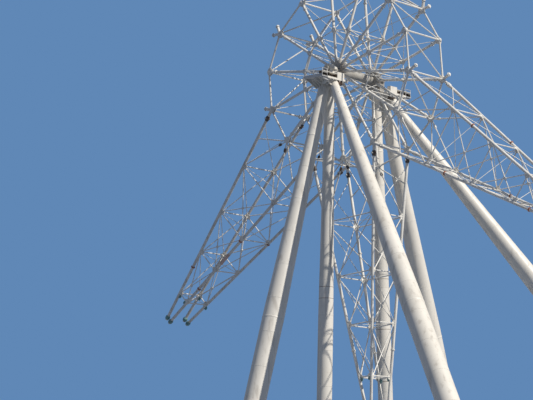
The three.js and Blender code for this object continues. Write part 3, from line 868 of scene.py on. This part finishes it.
# %% Gussets at the ring's nodes
NODE_GUSSET = [(-0.27, -0.12), (-0.11, -0.32), (0.11, -0.32), (0.27, -0.12),
               (0.26, -0.01), (0.1, 0.09), (-0.1, 0.09), (-0.26, -0.01)]
INNER_GUSSET = [(-0.18, -0.08), (-0.09, -0.19), (0.09, -0.19), (0.18, -0.08),
                (0.17, 0.03), (0.09, 0.16), (-0.09, 0.16), (-0.17, 0.03)]
GUSSETS = (  # radius, distance from the node's middle, outline, and where its bolts are
    (RING_R, 0.075, NODE_GUSSET, ((-0.2, -0.07), (0.2, -0.07), (-0.07, -0.24), (0.07, -0.24))),
    (INNER_R, 0.06, INNER_GUSSET, ((-0.13, -0.02), (0.13, -0.02))))


def node_axes(k):
    """Along the ring and outward, as unit vectors, at the nodes k."""
    a = FIRST_NODE + (np.asarray(k) - 1) * STEP
    zero = np.zeros_like(a)
    return np.stack([np.sin(a), zero, -np.cos(a)], -1), np.stack([np.cos(a), zero, np.sin(a)], -1)


tangent, outward = node_axes(K)
for word, side in SIDES.items():
    parts, heads = [], []
    for radius, off, outline, spots in GUSSETS:
        for face in (-Y_AXIS, Y_AXIS):
            centre = ring_point(K, side, radius) + face * off
            parts.append(plates(centre, tangent, outward, outline, 0.03))
            for u, v in spots:
                heads += bolts(centre + u * tangent + v * outward + face * 0.013, face, 0.018, 0.022)
    piece(f"{word}_ring_gussets", parts, lattice_paint)
    piece(f"{word}_ring_bolts", heads, zinc)

# %% [markdown]
# The space between the two sides. Thin round bars stiffen the wheel from front to rear: a tie at
# each halfway node, and crossing pairs on both sides of it, in the plane of every spoke. They
# are too thin for the solids, but they fill the picture with fine lines. Each bar ends in a
# thicker clevis.

# %% Ties and crossing bars between front and rear
def rods(starts, ends, radius, trim, sides=6):
    """Round bars with a thicker clevis at both ends, cut short by trim."""
    starts, ends = np.atleast_2d(starts), np.atleast_2d(ends)
    way = unit(ends - starts)
    profile = both_ends((0, 1.7 * radius), (0.16, 1.7 * radius), (0.2, radius))
    return turned(starts + way * trim, ends - way * trim, profile, sides)


TIE_ROD, CROSS_ROD = 0.032, 0.024
HUB_R, OUTER_R = 0.75, RING_R - 0.12  # where the crossing bars start at the hub, and end at the ring


def crossing(low, high):
    """A bar each way between front and rear at every node, from radius low to radius high."""
    return [rods(ring_point(K, s, low), ring_point(K, -s, high), CROSS_ROD, 0.1) for s in (-1, 1)]


ties = rods(ring_point(K, -1, INNER_R), ring_point(K, 1, INNER_R), TIE_ROD, 0.08, 8)
piece("inner_ties", [ties], lattice_paint)
piece("outer_cross_bars", crossing(INNER_R + 0.05, OUTER_R), lattice_paint)
piece("inner_cross_bars", crossing(HUB_R, INNER_R - 0.05), lattice_paint)

# %% [markdown]
# Arm roots. Where an arm is pinned to the ring, each of its four chords passes through a cast
# knuckle, which is dark on the left and the hanging arm and painted over on the right one. The
# stubs that still wait for an arm end in an open flange with its bolt ring.

# %% Knuckles and waiting stubs
ARM_NAMES = {9: "left_arm", 11: "bottom_arm", 13: "right_arm"}  # by their first nodes
FINISHED = (("dark", dark_steel_and_shade, slice(0, 8)), ("pale", lattice_paint, slice(8, 12)))  # four to an arm
KNUCKLE = both_ends((0, 0.1), (0.04, 0.13), (0.1, 0.145))
PIN = both_ends((0, 0.05), (0.02, 0.06), (0.05, 0.06))
chords = [(first, edge, side) for first in ARM_NAMES for edge in (0, 1) for side in (-1, 1)]
low, high = (np.array([arm_point(*chord, ARM_ROOT + r) for chord in chords]) for r in (-0.18, 0.2))
for shade, finish, some in FINISHED:
    piece(f"{shade}_arm_knuckles", [turned(low[some], high[some], KNUCKLE, 16)], finish)
mid = (low + high) / 2
piece("arm_pins", [turned(mid - Y_AXIS * 0.25, mid + Y_AXIS * 0.25, PIN, 10)], zinc)

STUB_FLANGE = both_ends((0, 0.142), (0.006, 0.148))
waiting = [(first, edge, side) for edge in (0, 1) for first in (1, 3, 5, 7) for side in (-1, 1)]
back, tip = (np.array([arm_point(*stub, ARM_ROOT + r) for stub in waiting]) for r in (-0.14, -0.07))
way = unit(tip - back)
inner_face = tip - way * 0.045
piece("stub_flanges", [turned(inner_face, tip, STUB_FLANGE, 20)], lattice_paint)
stub_bolts = []
for centre, axis in zip(inner_face, way):
    stub_bolts += bolts(circle(centre, axis, 0.124, 8), -axis, 0.013, 0.02)
piece("stub_flange_bolts", stub_bolts, zinc)

# %% [markdown]
# The bars that fan out from the ring's middle node to the first frame of an arm have such a knuckle
# too, smaller, a short way from the node.

# %% Knuckles of the fan bars
FAN_KNUCKLE = both_ends((0, 0.06), (0.03, 0.085), (0.1, 0.095))
fan = [(first, edge, side) for first in ARM_NAMES for side in (-1, 1) for edge in (0, 1)]
node = np.array([ring_point(first + 1, side) for first, edge, side in fan])
way = unit(np.array([arm_point(*bar, ARM_FRAMES[0]) for bar in fan]) - node)
for shade, finish, some in FINISHED:
    knuckles = turned((node + way * 0.52)[some], (node + way * 0.8)[some], FAN_KNUCKLE, 12)
    piece(f"{shade}_fan_knuckles", [knuckles], finish)

# %% [markdown]
# Arm joints. Each chord is made of lengths with bolted flanges between them, which still show their
# red primer except on the hanging arm; one length of the left arm is only thinly painted over it.
# At every frame a gusset holds the strut and the braces, on the flat faces and on the webs, and
# small round plates cover the crossings.

# %% Gussets, splices and crossings of the arms
SPLICES = {  # where each chord is spliced, in ring radii from the axle: first node, edge, side
    (9, 0, -1): (2.99,), (9, 0, 1): (), (9, 1, -1): (2.27, 3.1), (9, 1, 1): (2.25,),
    (11, 0, -1): (1.93, 3.06), (11, 0, 1): (1.93, 3.06), (11, 1, -1): (1.93, 3.06), (11, 1, 1): (1.93, 3.06),
    (13, 0, -1): (1.88, 2.98), (13, 0, 1): (2.43, 3.12), (13, 1, -1): (1.93, 3.06), (13, 1, 1): (2.13, 3.06)}
CHORD_SPLICE = both_ends((0, 0.14), (0.008, 0.15), (0.04, 0.15), (0.044, 0.142))
FRAME_GUSSET = [(-0.22, -0.05), (0.22, -0.05), (0.22, 0.04), (0.16, 0.15),
                (0.06, 0.25), (-0.06, 0.25), (-0.16, 0.15), (-0.22, 0.04)]
CROSSING_PLATE = both_ends((0, 0.09), (0.01, 0.1))
for first, name in ARM_NAMES.items():
    gussets, splices, plates_over = [], [], []
    for side in (-1, 1):
        for edge in (0, 1):
            along, toward = arm_axes(first, edge, side)
            here, opposite = (arm_point(first, edge, s, ARM_ROOT) for s in (side, -side))
            web = square_to(along, opposite - here)
            spots = arm_point(first, edge, side, ARM_FRAMES)
            gussets += [plates(spots + way * 0.06, along, way, FRAME_GUSSET, 0.024) for way in (toward, web)]
            for r in SPLICES[first, edge, side]:
                p = arm_point(first, edge, side, r * RING_R)
                splices.append(turned(p - along * 0.046, p + along * 0.046, CHORD_SPLICE, 18))
        a, b = (arm_point(first, edge, side, ARM_FRAMES[:-1]) for edge in (0, 1))
        c, d = (arm_point(first, edge, side, ARM_FRAMES[1:]) for edge in (0, 1))
        low, high = (np.linalg.norm(v, axis=1, keepdims=True) for v in (b - a, d - c))
        centre = a + (d - a) * low / (low + high)  # where the diagonals of each bay cross
        plates_over.append(turned(centre - Y_AXIS * 0.05, centre + Y_AXIS * 0.05, CROSSING_PLATE, 12))
    # The left arm's gussets take the darker arm colours, which are painted shade.
    piece(f"{name}_gussets", gussets, arm_paint if name == "left_arm" else lattice_paint)
    piece(f"{name}_splices", splices, lattice_paint if name == "bottom_arm" else primer)
    piece(f"{name}_crossings", plates_over, lattice_paint)

PRIMED = both_ends((0, 0.109), (0.02, 0.116))
primed_from, primed_to = (arm_point(9, 1, -1, r * RING_R) for r in (2.49, 2.66))
piece("left_arm_primed_length", [turned(primed_from, primed_to, PRIMED, 18)], thin_primer)

# %% [markdown]
# Arm bracing. The webs between front and rear carry the second diagonal of each bay, the first bay
# from the ring to the first frame is crossed too, and each frame has two thin bars across its
# corners, which keep the square section square.

# %% Second diagonals and frame crosses
WEB_ROD, FRAME_ROD, BRACE_TRIM = 0.026, 0.021, 0.09
for first, name in ARM_NAMES.items():
    spans = [(edge, -1, r0, r1) for edge in (0, 1) for r0, r1 in zip(ARM_FRAMES[:-1], ARM_FRAMES[1:])]
    spans += [(edge, side, ARM_ROOT + 0.45, ARM_FRAMES[0]) for edge in (0, 1) for side in (-1, 1)]
    starts = [arm_point(first, edge, side, r0) for edge, side, r0, r1 in spans]
    ends = [arm_point(first, edge, -side, r1) for edge, side, r0, r1 in spans]
    piece(f"{name}_web_bars", [rods(starts, ends, WEB_ROD, BRACE_TRIM)], lattice_paint)
    starts = [arm_point(first, edge, -1, r) for r in ARM_FRAMES for edge in (0, 1)]
    ends = [arm_point(first, 1 - edge, 1, r) for r in ARM_FRAMES for edge in (0, 1)]
    piece(f"{name}_frame_bars", [rods(starts, ends, FRAME_ROD, BRACE_TRIM)], lattice_paint)

# %% [markdown]
# Arm tips. The chords end in dark green couplings, which wait for the next length of the arm, and
# lugs of the same colour stand beside the last frame. One of them points outward.

# %% Couplings and lugs
TIP_LUG = [(-0.05, -0.15), (0.14, -0.12), (0.18, 0.0), (0.14, 0.12), (-0.05, 0.15)]
COUPLING = both_ends((0, 0.125), (0.03, 0.155), (0.08, 0.17))
LUG_OUTWARD = (9, 1, 1)  # first node, edge and side of the one that points outward
for first, name in ARM_NAMES.items():
    parts = []
    for side in (-1, 1):
        for edge in (0, 1):
            along, toward = arm_axes(first, edge, side)
            p = arm_point(first, edge, side, ARM_TIP - 0.2)
            parts.append(turned(p - along * 0.14, p + along * 0.14, COUPLING, 18))
            aside = -toward if (first, edge, side) == LUG_OUTWARD else toward
            lug_at = arm_point(first, edge, side, ARM_FRAMES[3] + 0.18) + aside * 0.1
            parts.append(plates(lug_at, aside, np.cross(Y_AXIS, aside), TIP_LUG, 0.06))
    piece(f"{name}_tip_plates", parts, end_paint)
